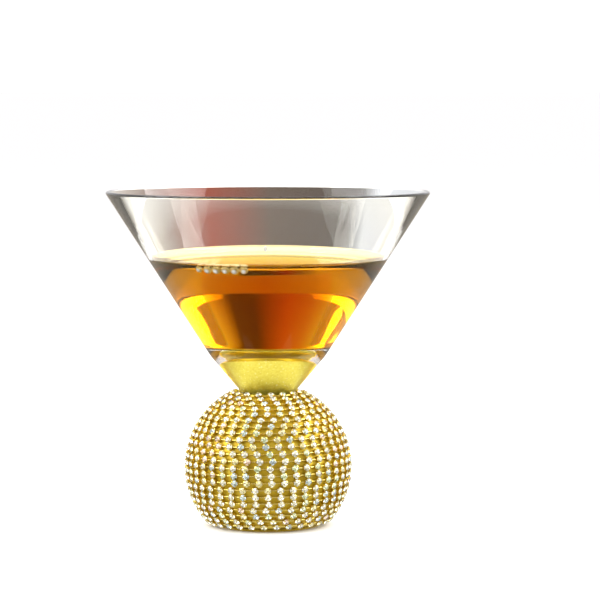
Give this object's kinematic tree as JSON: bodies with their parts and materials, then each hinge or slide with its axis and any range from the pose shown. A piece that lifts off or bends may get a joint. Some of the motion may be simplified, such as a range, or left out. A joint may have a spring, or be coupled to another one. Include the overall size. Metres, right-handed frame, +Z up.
{
  "type": "martini glass",
  "caption": "Conical clear glass cocktail bowl on a short tapered neck and a hollow ball foot wound with gold cup chain and clear crystals.",
  "frame": {"origin": "centre of the underside of the base disc, on the surface that the glass stands on", "axes": "+Z up along the axis of the glass, from the ball foot to the rim; the glass is round, and the chain starts at the foot on the -X side and ends at the neck on the +X side"},
  "size_m": [0.11, 0.11, 0.114],
  "materials": {
    "clear_glass": "fire-polished clear glass",
    "gold_lacquer": "bright yellow-gold lacquer with a fine sparkle",
    "gold_foil": "satin olive-gold foil",
    "gold_plate": "polished gold plate",
    "crystal": "faceted clear crystal with a silvered back"
  },
  "bodies": {
    "root": {"glass_body": "clear_glass", "gold_lining": "gold_lacquer", "gold_wrap": "gold_foil", "base_disc": "gold_plate", "cup_chain_turn_1": "gold_plate", "cup_chain_turn_2": "gold_plate", "cup_chain_turn_3": "gold_plate", "cup_chain_turn_4": "gold_plate", "cup_chain_turn_5": "gold_plate", "cup_chain_turn_6": "gold_plate", "cup_chain_turn_7": "gold_plate", "cup_chain_turn_8": "gold_plate", "cup_chain_turn_9": "gold_plate", "cup_chain_turn_10": "gold_plate", "cup_chain_turn_11": "gold_plate", "cup_chain_turn_12": "gold_plate", "cup_chain_turn_13": "gold_plate", "cup_chain_turn_14": "gold_plate", "cup_chain_turn_15": "gold_plate", "cup_chain_turn_16": "gold_plate", "cup_chain_turn_17": "gold_plate", "cup_chain_turn_18": "gold_plate", "cup_chain_turn_19": "gold_plate", "cup_chain_turn_20": "gold_plate", "cup_chain_turn_21": "gold_plate", "cup_chain_turn_22": "gold_plate", "crystals_turn_1": "crystal", "crystals_turn_2": "crystal", "crystals_turn_3": "crystal", "crystals_turn_4": "crystal", "crystals_turn_5": "crystal", "crystals_turn_6": "crystal", "crystals_turn_7": "crystal", "crystals_turn_8": "crystal", "crystals_turn_9": "crystal", "crystals_turn_10": "crystal", "crystals_turn_11": "crystal", "crystals_turn_12": "crystal", "crystals_turn_13": "crystal", "crystals_turn_14": "crystal", "crystals_turn_15": "crystal", "crystals_turn_16": "crystal", "crystals_turn_17": "crystal", "crystals_turn_18": "crystal", "crystals_turn_19": "crystal", "crystals_turn_20": "crystal", "crystals_turn_21": "crystal", "crystals_turn_22": "crystal"}
  },
  "joints": []
}
